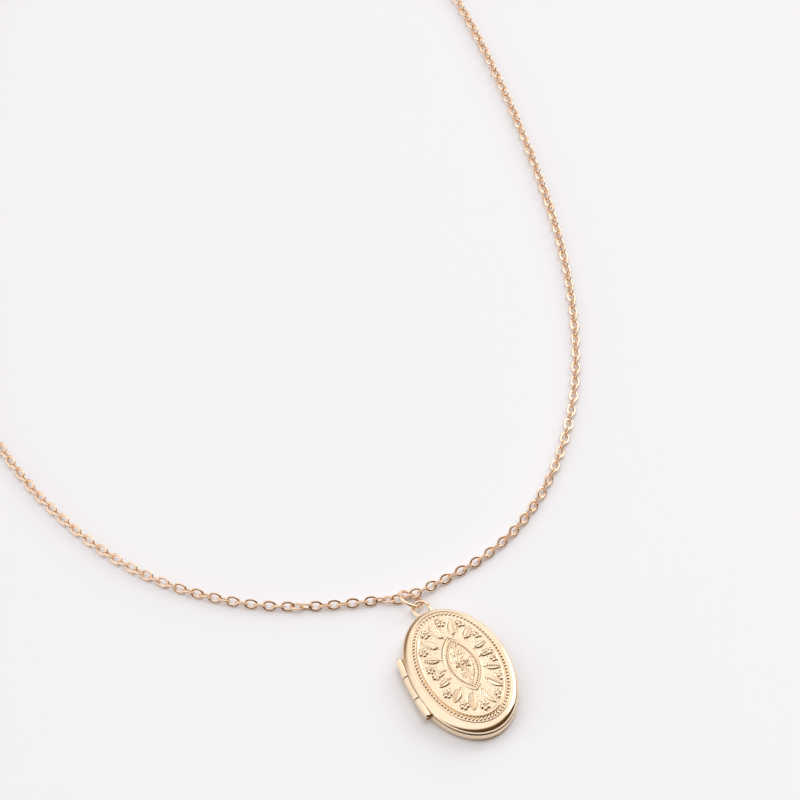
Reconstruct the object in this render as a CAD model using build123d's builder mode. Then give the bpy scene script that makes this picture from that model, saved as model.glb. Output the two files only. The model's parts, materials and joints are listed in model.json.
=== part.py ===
"""Oval photo locket with a side hinge, hung by a jump ring on a fine cable chain.

Millimetres. The origin is the middle of the flat oval that the back rests on, +Z points
out of the embossed front, +Y to the bail and -X to the hinge. The chain lies on the same
surface as the locket, at Z = 0, and closes in a lobster clasp.
"""

from build123d import *
from math import cos, pi, radians, sin, tan
import os

os.makedirs("parts", exist_ok=True)

# ---------------------------------------------------------------- driving dimensions
HALF_WIDTH = 10.0  # outline semi-axis along X
HALF_HEIGHT = 15.0  # outline semi-axis along Y
SEAM_Z = 2.4  # plane where the two covers meet
RIM_TOP_Z = 3.8  # flat border of the front
FIELD_Z = 3.95  # raised field inside the border
DOME_Z = 4.25  # highest part of the field
RIM_ROUND = 1.3  # rounding of both covers' outer edges
RIM_WALL = 1.5  # rim thickness at the seam
FLOOR = 0.5  # thickness of the back under the photo well
FRONT_ROOF_Z = 3.4  # underside of the front's embossed wall
FIELD_CENTRE = (0.2, 0.3)  # the border is a little wider on the hinge side and below
FIELD_HALF = (7.35, 12.1)  # semi-axes of the raised field
DOME_HALF = (4.6, 8.2)  # semi-axes of the top of the dome

LIP_DEPTH = 0.8  # how far the lip is let into the back cover
LIP_TOP_Z = 2.85
LIP_WALL = 0.35
LIP_CLEARANCE = 0.06
LIP_CHAMFER = 0.08

HINGE_X = -9.75  # hinge axis, parallel to Y in the seam plane
KNUCKLE_RADIUS = 0.85
KNUCKLE_CLEARANCE = 0.05
HINGE_HALF = 7.1  # half length of the whole hinge
MIDDLE_HALF = 2.65  # half length of the middle knuckle
KNUCKLE_GAP = 0.08  # between neighbouring knuckles
HINGE_SAGITTA = 0.55  # the knuckles are ground back to follow the oval
PIN_RADIUS = 0.17
PIN_CLEARANCE = 0.02

BAIL_CENTRE = (-0.6, 16.75, 1.75)
BAIL_RADIUS = 1.55  # to the middle of the wire
BAIL_STRAIGHT = 0.25  # half length of its straight sides
BAIL_WIRE = 0.35

RING_CENTRE = (-1.6, 19.7, 1.8)
RING_NORMAL = (0.54, 0.18, 0.82)
RING_RADIUS = 2.4
RING_WIRE = 0.325

PHOTO_HALF = (8.35, 13.35)  # semi-axes of the photo card and its window
FRAME_OPENING = (7.6, 12.6)  # semi-axes of the opening in the photo frames
CARD_THICKNESS = 0.2
WINDOW_THICKNESS = 0.15
BACK_FRAME_THICKNESS = 0.6
BACK_FRAME_CHAMFER = 0.3

LINK_LENGTH = 2.6
LINK_WIDTH = 2.0
LINK_WIRE = 0.2
LINK_PITCH = 1.76

CHAIN_RADIUS = 1.0  # of the plain tube that the chain fills
CHAIN_Z = 1.0
ARC_SHARE = 0.45  # share of the shorter run that each arc of the chain uses

CAVITY = (HALF_WIDTH - RIM_WALL, HALF_HEIGHT - RIM_WALL)


def write(piece, name):
    piece.part.label = name
    export_step(piece.part, f"parts/{name}.step")


def across_hinge(y):
    """A plane square to the hinge axis at this height along it, facing +Y."""
    return Plane(origin=(HINGE_X, y, SEAM_Z), x_dir=(1, 0, 0), z_dir=(0, 1, 0))


# ---------------------------------------------------------------- covers
outer_from = MIDDLE_HALF + KNUCKLE_GAP / 2
outer_to = HINGE_HALF + KNUCKLE_GAP
middle_to = MIDDLE_HALF - KNUCKLE_GAP / 2

with BuildPart() as back_cover:
    with BuildSketch(Plane.XY):
        Ellipse(HALF_WIDTH, HALF_HEIGHT)
    extrude(amount=SEAM_Z)
    fillet(back_cover.edges().group_by(Axis.Z)[0], radius=RIM_ROUND)
    with BuildSketch(Plane.XY.offset(FLOOR)):
        Ellipse(*CAVITY)
    extrude(amount=SEAM_Z - FLOOR, mode=Mode.SUBTRACT)
    # The middle knuckle is soldered to this cover; the outer two turn in clear notches.
    with BuildSketch(across_hinge(-middle_to)):
        Circle(KNUCKLE_RADIUS)
    extrude(amount=2 * middle_to, mode=Mode.SUBTRACT)
    for start in (-outer_to, middle_to):
        with BuildSketch(across_hinge(start)):
            Circle(KNUCKLE_RADIUS + KNUCKLE_CLEARANCE)
        extrude(amount=outer_to - middle_to, mode=Mode.SUBTRACT)
write(back_cover, "back_cover")

with BuildPart() as front_cover:
    with BuildSketch(Plane.XY.offset(SEAM_Z)):
        Ellipse(HALF_WIDTH, HALF_HEIGHT)
    extrude(amount=RIM_TOP_Z - SEAM_Z)
    fillet(front_cover.edges().group_by(Axis.Z)[-1], radius=RIM_ROUND)
    with BuildSketch(Plane.XY.offset(RIM_TOP_Z)):
        with Locations(FIELD_CENTRE):
            Ellipse(*FIELD_HALF)
    extrude(amount=FIELD_Z - RIM_TOP_Z)
    with BuildSketch(Plane.XY.offset(FIELD_Z)):
        with Locations(FIELD_CENTRE):
            Ellipse(*FIELD_HALF)
    with BuildSketch(Plane.XY.offset(DOME_Z)):
        with Locations(FIELD_CENTRE):
            Ellipse(*DOME_HALF)
    loft(ruled=True)
    with BuildSketch(Plane.XY.offset(SEAM_Z)):
        Ellipse(*CAVITY)
    extrude(amount=FRONT_ROOF_Z - SEAM_Z, mode=Mode.SUBTRACT)
    # The outer knuckles are soldered to this cover; the middle one turns in a clear notch.
    with BuildSketch(across_hinge(-outer_to)):
        Circle(KNUCKLE_RADIUS)
    extrude(amount=2 * outer_to, mode=Mode.SUBTRACT)
    with BuildSketch(across_hinge(-outer_from)):
        Circle(KNUCKLE_RADIUS + KNUCKLE_CLEARANCE)
    extrude(amount=2 * outer_from, mode=Mode.SUBTRACT)
write(front_cover, "front_cover")

with BuildPart() as closing_lip:
    with BuildSketch(Plane.XY.offset(SEAM_Z - LIP_DEPTH)):
        Ellipse(*CAVITY)
    extrude(amount=LIP_DEPTH)
    with BuildSketch(Plane.XY.offset(SEAM_Z)):
        Ellipse(CAVITY[0] - LIP_CLEARANCE, CAVITY[1] - LIP_CLEARANCE)
    extrude(amount=LIP_TOP_Z - SEAM_Z)
    with BuildSketch(Plane.XY.offset(SEAM_Z - LIP_DEPTH)):
        Ellipse(CAVITY[0] - LIP_WALL, CAVITY[1] - LIP_WALL)
    extrude(amount=LIP_DEPTH + LIP_TOP_Z - SEAM_Z, mode=Mode.SUBTRACT)
    chamfer(closing_lip.edges().group_by(Axis.Z)[-1], length=LIP_CHAMFER)
write(closing_lip, "closing_lip")


# ---------------------------------------------------------------- hinge
# The outside of the knuckles is ground to an arc about as round as the locket's side.
grind_radius = (HINGE_HALF**2 + HINGE_SAGITTA**2) / (2 * HINGE_SAGITTA)
grind_centre_x = HINGE_X - KNUCKLE_RADIUS + grind_radius


def knuckle(low_y, high_y, bore):
    with BuildPart() as piece:
        with BuildSketch(across_hinge(low_y)):
            Circle(KNUCKLE_RADIUS)
            Circle(bore, mode=Mode.SUBTRACT)
        extrude(amount=high_y - low_y)
        with BuildSketch(Plane.XY):
            with Locations((grind_centre_x, 0)):
                Circle(grind_radius)
        extrude(amount=2 * SEAM_Z, mode=Mode.INTERSECT)
    return piece


write(knuckle(outer_from, HINGE_HALF, PIN_RADIUS + PIN_CLEARANCE), "hinge_knuckle_upper")
write(knuckle(-middle_to, middle_to, PIN_RADIUS), "hinge_knuckle_middle")
write(knuckle(-HINGE_HALF, -outer_from, PIN_RADIUS + PIN_CLEARANCE), "hinge_knuckle_lower")

with BuildPart() as hinge_pin:
    with BuildSketch(across_hinge(-HINGE_HALF)):
        Circle(PIN_RADIUS)
    extrude(amount=2 * HINGE_HALF)
write(hinge_pin, "hinge_pin")


# ---------------------------------------------------------------- photo wells
def oval_plate(bottom_z, thickness, half_axes, opening=None):
    with BuildPart() as piece:
        with BuildSketch(Plane.XY.offset(bottom_z)):
            Ellipse(*half_axes)
            if opening:
                Ellipse(*opening, mode=Mode.SUBTRACT)
        extrude(amount=thickness)
    return piece


back_window_z = FLOOR + CARD_THICKNESS
back_frame_z = back_window_z + WINDOW_THICKNESS
write(oval_plate(FLOOR, CARD_THICKNESS, PHOTO_HALF), "back_photo_card")
write(oval_plate(back_window_z, WINDOW_THICKNESS, PHOTO_HALF), "back_window")
with BuildPart() as back_photo_frame:
    with BuildSketch(Plane.XY.offset(back_frame_z)):
        Ellipse(*CAVITY)
        Ellipse(*FRAME_OPENING, mode=Mode.SUBTRACT)
    extrude(amount=BACK_FRAME_THICKNESS)
    opening_edge = back_photo_frame.edges().group_by(Axis.Z)[-1].sort_by(SortBy.LENGTH)[0]
    chamfer(opening_edge, length=BACK_FRAME_CHAMFER)
write(back_photo_frame, "back_photo_frame")

front_card_z = FRONT_ROOF_Z - CARD_THICKNESS
front_window_z = front_card_z - WINDOW_THICKNESS
write(oval_plate(front_card_z, CARD_THICKNESS, PHOTO_HALF), "front_photo_card")
write(oval_plate(front_window_z, WINDOW_THICKNESS, PHOTO_HALF), "front_window")
front_frame_z = LIP_TOP_Z + LIP_CLEARANCE
front_frame = oval_plate(front_frame_z, front_window_z - front_frame_z, CAVITY, FRAME_OPENING)
write(front_frame, "front_photo_frame")


# ---------------------------------------------------------------- bail and rings
with BuildPart() as bail:
    with BuildLine(Plane(BAIL_CENTRE)) as bail_line:
        Line((BAIL_RADIUS, -BAIL_STRAIGHT), (BAIL_RADIUS, BAIL_STRAIGHT))
        CenterArc((0, BAIL_STRAIGHT), BAIL_RADIUS, 0, 180)
        Line((-BAIL_RADIUS, BAIL_STRAIGHT), (-BAIL_RADIUS, -BAIL_STRAIGHT))
        CenterArc((0, -BAIL_STRAIGHT), BAIL_RADIUS, 180, 180)
    with BuildSketch(Plane(origin=bail_line.line @ 0, z_dir=bail_line.line % 0)):
        Circle(BAIL_WIRE)
    sweep(path=bail_line.line)
    with BuildSketch(Plane.XY):
        Ellipse(HALF_WIDTH, HALF_HEIGHT)
    extrude(amount=SEAM_Z, mode=Mode.SUBTRACT)
write(bail, "bail")


def wire_ring(centre, normal, radius, wire):
    """A round ring of round wire, seen face on along its normal."""
    ring_plane = Plane(origin=centre, z_dir=normal)
    with BuildPart() as ring:
        with BuildSketch(Plane(centre, x_dir=ring_plane.x_dir, z_dir=ring_plane.y_dir)):
            with Locations((radius, 0)):
                Circle(wire)
        revolve(axis=Axis(centre, normal))
    return ring


write(wire_ring(RING_CENTRE, RING_NORMAL, RING_RADIUS, RING_WIRE), "jump_ring")


# ---------------------------------------------------------------- chain links at the ring
# The chain comes from the left under the ring's raised side, up through it, and down over
# its low side. Each link is turned about the chain by its own roll, in degrees.
CENTRE_PATH = [
    (-8.5, 22.9, 0.9),
    (-5.5, 22.05, 0.9),
    (-3.5, 21.25, 0.95),
    (-1.6, 20.9, 1.2),
    (0.0, 20.9, 1.4),
    (1.8, 20.95, 1.65),
    (3.5, 21.3, 1.45),
    (6.5, 22.0, 0.9),
    (9.0, 22.3, 0.9),
]
FIRST_LINK_AT = 1.68
LINK_ROLLS = [-75, -15, 45, -60, 30, -50, 40, -45, 45]
link_end = LINK_WIDTH / 2 - LINK_WIRE
link_straight = (LINK_LENGTH - LINK_WIDTH) / 2

centre_path = Spline(*CENTRE_PATH)

with BuildPart() as centre_links:
    for number, roll in enumerate(LINK_ROLLS):
        along = (FIRST_LINK_AT + number * LINK_PITCH) / centre_path.length
        heading = centre_path % along
        side = Vector(0, 0, 1).cross(heading).normalized()
        upward = heading.cross(side)
        face_normal = upward * cos(radians(roll)) - side * sin(radians(roll))
        link_plane = Plane(centre_path @ along, x_dir=heading, z_dir=face_normal)
        with BuildLine(link_plane) as link_line:
            Line((-link_straight, -link_end), (link_straight, -link_end))
            CenterArc((link_straight, 0), link_end, -90, 180)
            Line((link_straight, link_end), (-link_straight, link_end))
            CenterArc((-link_straight, 0), link_end, 90, 180)
        with BuildSketch(Plane(origin=link_line.line @ 0, z_dir=link_line.line % 0)):
            Circle(LINK_WIRE)
        sweep(path=link_line.line)
write(centre_links, "centre_links")


# ---------------------------------------------------------------- free chain
def chain_tube(name, route):
    """A plain tube along straight runs joined by large tangent arcs."""
    points = [Vector(x, y, CHAIN_Z) for x, y in route]
    runs = [b - a for a, b in zip(points, points[1:])]
    radii, length = [], sum(run.length for run in runs)
    for before, after in zip(runs, runs[1:]):
        half_turn = radians(before.get_angle(after)) / 2
        setback = ARC_SHARE * min(before.length, after.length)
        radii.append(setback / tan(half_turn))
        length += 2 * (half_turn * radii[-1] - setback)
    with BuildPart() as tube:
        with BuildLine() as tube_line:
            FilletPolyline(*points, radius=radii)
        with BuildSketch(Plane(origin=tube_line.line @ 0, z_dir=tube_line.line % 0)):
            Circle(CHAIN_RADIUS)
        sweep(path=tube_line.line)
    section = pi * CHAIN_RADIUS**2
    print(name, "radii", [round(radius, 1) for radius in radii])
    print(name, "length", round(length, 1), "volume ratio", tube.part.volume / (section * length))
    write(tube, name)


LEFT_ROUTE = [
    (-8, 22.7),
    (-18, 25.4),
    (-29.5, 30.8),
    (-40, 39),
    (-47.5, 48),
    (-53.5, 59.5),
    (-59, 77),
    (-61, 102),
    (-51.5, 131.5),
    (-39.5, 161),
    (-27.5, 184.5),
    (-15.5, 199.5),
    (3.5, 200),
    (20, 193.5),
]
RIGHT_ROUTE = [
    (7.9, 22.2),
    (15, 23.3),
    (25, 27.8),
    (34.5, 35.3),
    (43, 45.4),
    (50, 57),
    (55.7, 70.5),
    (60.7, 87.5),
    (64, 106),
    (66.5, 127),
    (67.8, 150),
    (67, 166.5),
    (51.5, 179.7),
    (33.1, 187.8),
]
chain_tube("left_chain", LEFT_ROUTE)
chain_tube("right_chain", RIGHT_ROUTE)


# ---------------------------------------------------------------- lobster clasp
# Laid out along its own X from the eye to the hook, between the two ends of the chain.
# The end ring hangs low in the hook, so the clasp lies a little askew to the chain.
CLASP_ASKEW = 3.6
EYE_FROM_CHAIN = 2.95  # from the end of the chain to the middle of the eye
left_end, right_end = Vector(*LEFT_ROUTE[-1]), Vector(*RIGHT_ROUTE[-1])
CLASP_X = (right_end - left_end).normalized().rotate(Axis.Z, CLASP_ASKEW)
CLASP_ORIGIN = left_end + CLASP_X * EYE_FROM_CHAIN
CLASP_LOW, CLASP_HIGH = 0.7, 2.3
CLASP_CHAMFER = 0.25
EYE_OUTER, EYE_INNER = 1.2, 0.6  # radii
EYE_STEP = 0.3  # the eye is thinner than the body by this on each side
SHANK = [(0.9, -0.7), (3.6, -1.9), (3.6, 1.9), (0.9, 0.7)]
HOOK_OUTER = (3.8, 2.7)
HOOK_INNER = (2.6, 1.55)
HOOK_CENTRE = (6.2, 0)
OPENING_CENTRE = (6.4, 0.1)
PIVOT = (3.7, 1.35)
BOSS_RADIUS = 0.55
CLASP_PIN_RADIUS = 0.25
CLASP_PIN_CLEARANCE = 0.03
TRIGGER_LOW, TRIGGER_HIGH = 1.05, 1.95
TRIGGER_EDGE = 0.85  # the arm is what lies above this line
THUMB_TAB = [(3.3, 1.6), (2.95, 2.75), (3.55, 2.95), (4.1, 1.7)]
GATE_FROM, GATE_TO = 4.8, 8.6  # the gap in the hook that the trigger closes
GATE_EDGE = 0.6
GATE_PLAY = 0.12
SLOT_FROM, SLOT_TO, SLOT_EDGE = 2.7, 5.2, 0.5  # the slot that the trigger turns in
SLOT_PLAY = 0.06
SPRING = [(3.1, 0.5), (3.9, 0.5), (4.5, 1), (4.4, 1.07), (3.86, 0.62), (3.1, 0.62)]
SPRING_INSET = 0.1
CLASP_SIDE, CLASP_END = 5, 12  # beyond the sides and the tip of the clasp
CLASP_RING_AT, CLASP_RING_Z = -1.35, 1.6
CLASP_RING_RADIUS, CLASP_RING_WIRE = 1.35, 0.25
END_RING_AT, END_RING_ASIDE, END_RING_Z = 9.1, 0.9, 2.2
END_RING_RADIUS, END_RING_WIRE = 1.9, 0.3


def clasp_plane(height=0.0):
    origin = CLASP_ORIGIN + Vector(0, 0, height)
    return Plane(origin=origin, x_dir=CLASP_X, z_dir=(0, 0, 1))


def cut_away(x_from, x_to, y_from, y_to):
    """Cut a rectangle, given by its sides, out of the clasp's sketch."""
    with Locations(((x_from + x_to) / 2, (y_from + y_to) / 2)):
        Rectangle(x_to - x_from, y_to - y_from, mode=Mode.SUBTRACT)


def hook_outline():
    with Locations(HOOK_CENTRE):
        Ellipse(*HOOK_OUTER)


def hook_opening():
    with Locations(OPENING_CENTRE):
        Ellipse(*HOOK_INNER, mode=Mode.SUBTRACT)


with BuildPart() as clasp_body:
    with BuildSketch(clasp_plane(CLASP_LOW)):
        hook_outline()
        Polygon(*SHANK, align=None)
        hook_opening()
    extrude(amount=CLASP_HIGH - CLASP_LOW)
    chamfer(clasp_body.edges().filter_by(Axis.Z, reverse=True), length=CLASP_CHAMFER)
    with BuildSketch(clasp_plane(CLASP_LOW)):
        with Locations(((GATE_FROM + GATE_TO) / 2, (GATE_EDGE + CLASP_SIDE) / 2)):
            Rectangle(GATE_TO - GATE_FROM, CLASP_SIDE - GATE_EDGE)
    extrude(amount=CLASP_HIGH - CLASP_LOW, mode=Mode.SUBTRACT)
    with BuildSketch(clasp_plane(CLASP_LOW + EYE_STEP)):
        Circle(EYE_OUTER)
        Circle(EYE_INNER, mode=Mode.SUBTRACT)
    extrude(amount=CLASP_HIGH - CLASP_LOW - 2 * EYE_STEP)
    with BuildSketch(clasp_plane(TRIGGER_LOW - SLOT_PLAY)):
        with Locations(((SLOT_FROM + SLOT_TO) / 2, (SLOT_EDGE + CLASP_SIDE) / 2)):
            Rectangle(SLOT_TO - SLOT_FROM, CLASP_SIDE - SLOT_EDGE)
    extrude(amount=TRIGGER_HIGH - TRIGGER_LOW + 2 * SLOT_PLAY, mode=Mode.SUBTRACT)
    with BuildSketch(clasp_plane()):
        with Locations(PIVOT):
            Circle(CLASP_PIN_RADIUS)
    extrude(amount=2 * CLASP_HIGH, mode=Mode.SUBTRACT)
write(clasp_body, "clasp_body")

with BuildPart() as clasp_trigger:
    with BuildSketch(clasp_plane(TRIGGER_LOW)):
        hook_outline()
        hook_opening()
        cut_away(0, PIVOT[0], -CLASP_SIDE, CLASP_SIDE)
        cut_away(GATE_TO - GATE_PLAY, CLASP_END, -CLASP_SIDE, CLASP_SIDE)
        cut_away(0, CLASP_END, -CLASP_SIDE, TRIGGER_EDGE)
        with Locations(PIVOT):
            Circle(BOSS_RADIUS)
        Polygon(*THUMB_TAB, align=None)
        with Locations(PIVOT):
            Circle(CLASP_PIN_RADIUS + CLASP_PIN_CLEARANCE, mode=Mode.SUBTRACT)
    extrude(amount=TRIGGER_HIGH - TRIGGER_LOW)
write(clasp_trigger, "clasp_trigger")

with BuildPart() as clasp_pin:
    with BuildSketch(clasp_plane(CLASP_LOW)):
        with Locations(PIVOT):
            Circle(CLASP_PIN_RADIUS)
    extrude(amount=CLASP_HIGH - CLASP_LOW)
write(clasp_pin, "clasp_pin")

with BuildPart() as clasp_spring:
    with BuildSketch(clasp_plane(TRIGGER_LOW + SPRING_INSET)):
        Polygon(*SPRING, align=None)
    extrude(amount=TRIGGER_HIGH - TRIGGER_LOW - 2 * SPRING_INSET)
write(clasp_spring, "clasp_spring")

clasp_side = clasp_plane().y_dir
clasp_ring_centre = CLASP_ORIGIN + CLASP_X * CLASP_RING_AT + Vector(0, 0, CLASP_RING_Z)
write(wire_ring(clasp_ring_centre, clasp_side, CLASP_RING_RADIUS, CLASP_RING_WIRE), "clasp_ring")
end_ring_centre = (
    CLASP_ORIGIN + CLASP_X * END_RING_AT - clasp_side * END_RING_ASIDE + Vector(0, 0, END_RING_Z)
)
write(wire_ring(end_ring_centre, clasp_side, END_RING_RADIUS, END_RING_WIRE), "end_ring")
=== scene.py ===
"""Looks of the oval photo locket and its chain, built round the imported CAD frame.

Sizes are worked out in millimetres in the row frame and turned to metres where a mesh
is made. The front cover is one embossed shell; every chain link is its own closed loop.
"""

import json
import math

import bpy
import numpy as np
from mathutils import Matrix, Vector


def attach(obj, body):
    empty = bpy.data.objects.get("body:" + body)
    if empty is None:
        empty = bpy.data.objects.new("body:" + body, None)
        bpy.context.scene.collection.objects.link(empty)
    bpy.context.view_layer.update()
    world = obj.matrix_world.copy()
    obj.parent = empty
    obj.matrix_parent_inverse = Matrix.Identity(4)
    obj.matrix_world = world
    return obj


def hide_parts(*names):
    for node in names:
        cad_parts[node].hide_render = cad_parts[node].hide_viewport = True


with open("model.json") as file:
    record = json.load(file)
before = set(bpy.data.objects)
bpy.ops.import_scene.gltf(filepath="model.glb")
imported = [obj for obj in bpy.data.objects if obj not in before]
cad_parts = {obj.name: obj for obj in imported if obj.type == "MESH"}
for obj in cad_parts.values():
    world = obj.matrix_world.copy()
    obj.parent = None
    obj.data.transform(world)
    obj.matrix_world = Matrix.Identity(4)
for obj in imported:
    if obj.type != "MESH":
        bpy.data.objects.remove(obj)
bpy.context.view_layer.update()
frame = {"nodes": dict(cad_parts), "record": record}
nodes = frame["nodes"]
scene = bpy.context.scene
MM = 0.001
rng = np.random.default_rng(7)


# ---------------------------------------------------------------- camera
CAMERA_AT = (-300.81, -663.38, 1031.20)
CAMERA_LOOKS_AT = (16.157, 65.598, 0.0)

camera_data = bpy.data.cameras.new("camera")
camera_data.sensor_width = 36.0
camera_data.lens = 301.0
camera_data.clip_start, camera_data.clip_end = 0.05, 20.0
camera = bpy.data.objects.new("camera", camera_data)
camera.location = Vector(CAMERA_AT) * MM
toward = Vector(CAMERA_LOOKS_AT) - Vector(CAMERA_AT)
camera.rotation_mode = "QUATERNION"
camera.rotation_quaternion = toward.to_track_quat("-Z", "Y")
scene.collection.objects.link(camera)
scene.camera = camera


# ---------------------------------------------------------------- mesh helpers
def make_piece(name, verts, faces, body, material, sharp=None):
    """A smooth mesh piece from points in millimetres, riding on a CAD body."""
    mesh = bpy.data.meshes.new(name)
    mesh.from_pydata((np.asarray(verts, float) * MM).tolist(), [], [list(f) for f in faces])
    mesh.validate()
    mesh.shade_smooth()
    if sharp:
        mesh.set_sharp_from_angle(angle=math.radians(sharp))
    piece = bpy.data.objects.new(name, mesh)
    scene.collection.objects.link(piece)
    mesh.materials.append(material)
    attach(piece, body)
    return piece


def strip_faces(rows, columns, start=0, closed_rows=False):
    """Quads joining rows of points; each row is a closed ring of columns points."""
    faces = []
    for r in range(rows if closed_rows else rows - 1):
        below, above = start + r * columns, start + ((r + 1) % rows) * columns
        for c in range(columns):
            n = (c + 1) % columns
            faces.append((below + c, below + n, above + n, above + c))
    return faces


def wire_section(half_width, half_height, exponent, count):
    """A superellipse: round at exponent 2, with flats at larger exponents."""
    angles = np.arange(count) * 2 * np.pi / count
    c, s = np.cos(angles), np.sin(angles)
    power = 2 / exponent
    across = np.sign(c) * abs(c) ** power * half_width
    up = np.sign(s) * abs(s) ** power * half_height
    return np.stack([across, up], 1)


def loop_wire(path, outward, normal, section):
    """Points and faces of a wire of that section bent round a closed flat path."""
    path, outward, normal = np.asarray(path), np.asarray(outward), np.asarray(normal)
    sideways = outward[:, None] * section[None, :, :1]
    verts = path[:, None] + sideways + normal[None, None] * section[None, :, 1:]
    return verts.reshape(-1, 3), strip_faces(len(path), len(section), closed_rows=True)


def racetrack(half_straight, radius, arc_steps):
    """Flat points and outward directions of a link's middle line, in its own XY plane."""
    points, outs = [], []
    for sign in (1, -1):
        for a in np.linspace(-np.pi / 2, np.pi / 2, arc_steps + 1):
            out = np.array([sign * np.cos(a), sign * np.sin(a), 0.0])
            points.append(out * radius + np.array([sign * half_straight, 0, 0]))
            outs.append(out)
    return np.array(points), np.array(outs)


def oval_path(half_length, half_width, exponent, steps):
    """Flat points and outward directions of an oval, in its own XY plane."""
    flat = wire_section(half_length, half_width, exponent, steps)
    points = np.concatenate([flat, np.zeros((steps, 1))], 1)
    ahead = np.roll(points, -1, 0) - np.roll(points, 1, 0)
    outs = np.cross(ahead, (0, 0, 1))
    return points, outs / np.linalg.norm(outs, axis=1)[:, None]


def unit(v):
    v = np.asarray(v, float)
    return v / np.linalg.norm(v)


# ---------------------------------------------------------------- materials
def new_material(name):
    material = bpy.data.materials.new(name)
    material.use_nodes = True
    tree = material.node_tree
    shader = next(n for n in tree.nodes if n.type == "BSDF_PRINCIPLED")
    coords = tree.nodes.new("ShaderNodeTexCoord")
    return material, tree, shader, coords.outputs["Object"]


def noise(tree, coords, scale, detail=3.0, stretch=None):
    """A noise texture; scale is in features per metre."""
    if stretch:
        mapping = tree.nodes.new("ShaderNodeMapping")
        mapping.inputs["Scale"].default_value = stretch
        tree.links.new(coords, mapping.inputs["Vector"])
        coords = mapping.outputs["Vector"]
    texture = tree.nodes.new("ShaderNodeTexNoise")
    texture.inputs["Scale"].default_value = scale
    texture.inputs["Detail"].default_value = detail
    tree.links.new(coords, texture.inputs["Vector"])
    return texture.outputs["Fac"]


def spread(tree, fac, low, high):
    """The noise, which mostly lies between 0.3 and 0.7, remapped to run from low to high."""
    node = tree.nodes.new("ShaderNodeMapRange")
    node.inputs["From Min"].default_value = 0.3
    node.inputs["From Max"].default_value = 0.7
    node.inputs["To Min"].default_value = low
    node.inputs["To Max"].default_value = high
    tree.links.new(fac, node.inputs["Value"])
    return node.outputs["Result"]


def mix_colours(tree, fac, first, second):
    node = tree.nodes.new("ShaderNodeMix")
    node.data_type = "RGBA"
    for socket, value in ((node.inputs[6], first), (node.inputs[7], second)):
        if isinstance(value, tuple):
            socket.default_value = (*value, 1.0)
        else:
            tree.links.new(value, socket)
    tree.links.new(fac, node.inputs[0])
    return node.outputs[2]


def bump(tree, heights, shader):
    """Bump from several (height, distance in metres, strength), one over another."""
    normal = None
    for height, distance, strength in heights:
        node = tree.nodes.new("ShaderNodeBump")
        node.inputs["Distance"].default_value = distance
        node.inputs["Strength"].default_value = strength
        tree.links.new(height, node.inputs["Height"])
        if normal:
            tree.links.new(normal, node.inputs["Normal"])
        normal = node.outputs["Normal"]
    tree.links.new(normal, shader.inputs["Normal"])


def polished_metal(name, colour, deep, roughness, painted_shade=None):
    """Plated metal: slow tone changes, faint hairlines and a soft orange-peel surface, with painted shade, a
    dark brown, in its hollows where a piece asks for it.
    """
    material, tree, shader, coords = new_material(name)
    shader.inputs["Metallic"].default_value = 1.0
    tone = mix_colours(tree, spread(tree, noise(tree, coords, 260), 0.0, 1.0), colour, deep)
    # Painted shade: the tone turns dark brown where the piece's attribute says, standing in for the shade in
    # cuts, gaps, grooves and creases.
    if painted_shade:
        attribute = tree.nodes.new("ShaderNodeAttribute")
        attribute.attribute_name = "painted_shade"
        tone = mix_colours(tree, attribute.outputs["Fac"], tone, painted_shade)
    tree.links.new(tone, shader.inputs["Base Color"])
    smudges = noise(tree, coords, 700, 5.0)
    tree.links.new(spread(tree, smudges, roughness * 0.75, roughness * 1.35), shader.inputs["Roughness"])
    hairlines = noise(tree, coords, 900, 4.0, stretch=(1.0, 9.0, 3.0))
    peel = noise(tree, coords, 1600, 2.0)
    bump(tree, [(peel, 0.00001, 0.25), (hairlines, 0.000004, 0.3)], shader)
    return material


LOCKET_ROUGHNESS = 0.10
CHAIN_ROUGHNESS = 0.14
LOCKET_GOLD = (0.955, 0.785, 0.59)
LOCKET_DEEP = (0.93, 0.735, 0.53)
CHAIN_GOLD = (0.96, 0.74, 0.56)
CHAIN_DEEP = (0.93, 0.68, 0.49)
# A dark brown painted into cuts, gaps, grooves and creases as painted shade.
PAINTED_SHADE_COLOUR = (0.17, 0.09, 0.04)

locket_gold = polished_metal("locket_gold_polished", LOCKET_GOLD, LOCKET_DEEP, LOCKET_ROUGHNESS, PAINTED_SHADE_COLOUR)
embossed_gold = polished_metal("locket_gold_embossed", LOCKET_GOLD, LOCKET_DEEP, LOCKET_ROUGHNESS, PAINTED_SHADE_COLOUR)
chain_gold = polished_metal("chain_gold_polished", CHAIN_GOLD, CHAIN_DEEP, CHAIN_ROUGHNESS)
spring_steel = polished_metal("spring_steel_drawn", (0.62, 0.61, 0.60), (0.52, 0.51, 0.50), 0.25)

photo_card, tree, shader, coords = new_material("photo_card_paper")
fibres = noise(tree, coords, 2500, 6.0)
tree.links.new(
    mix_colours(tree, spread(tree, fibres, 0.0, 1.0), (0.80, 0.77, 0.70), (0.87, 0.85, 0.80)),
    shader.inputs["Base Color"],
)
tree.links.new(spread(tree, fibres, 0.55, 0.75), shader.inputs["Roughness"])
bump(tree, [(fibres, 0.00002, 0.4)], shader)

photo_window, tree, shader, coords = new_material("photo_window_plastic")
shader.inputs["Base Color"].default_value = (0.90, 0.92, 0.93, 1.0)
shader.inputs["Alpha"].default_value = 0.16
shader.inputs["Specular IOR Level"].default_value = 0.6
haze = noise(tree, coords, 500, 4.0)
tree.links.new(spread(tree, haze, 0.02, 0.09), shader.inputs["Roughness"])
bump(tree, [(haze, 0.00001, 0.2)], shader)

MATERIAL_OF = {
    "locket_gold": locket_gold,
    "chain_gold": chain_gold,
    "spring_steel": spring_steel,
    "photo_card": photo_card,
    "photo_window": photo_window,
}


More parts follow.
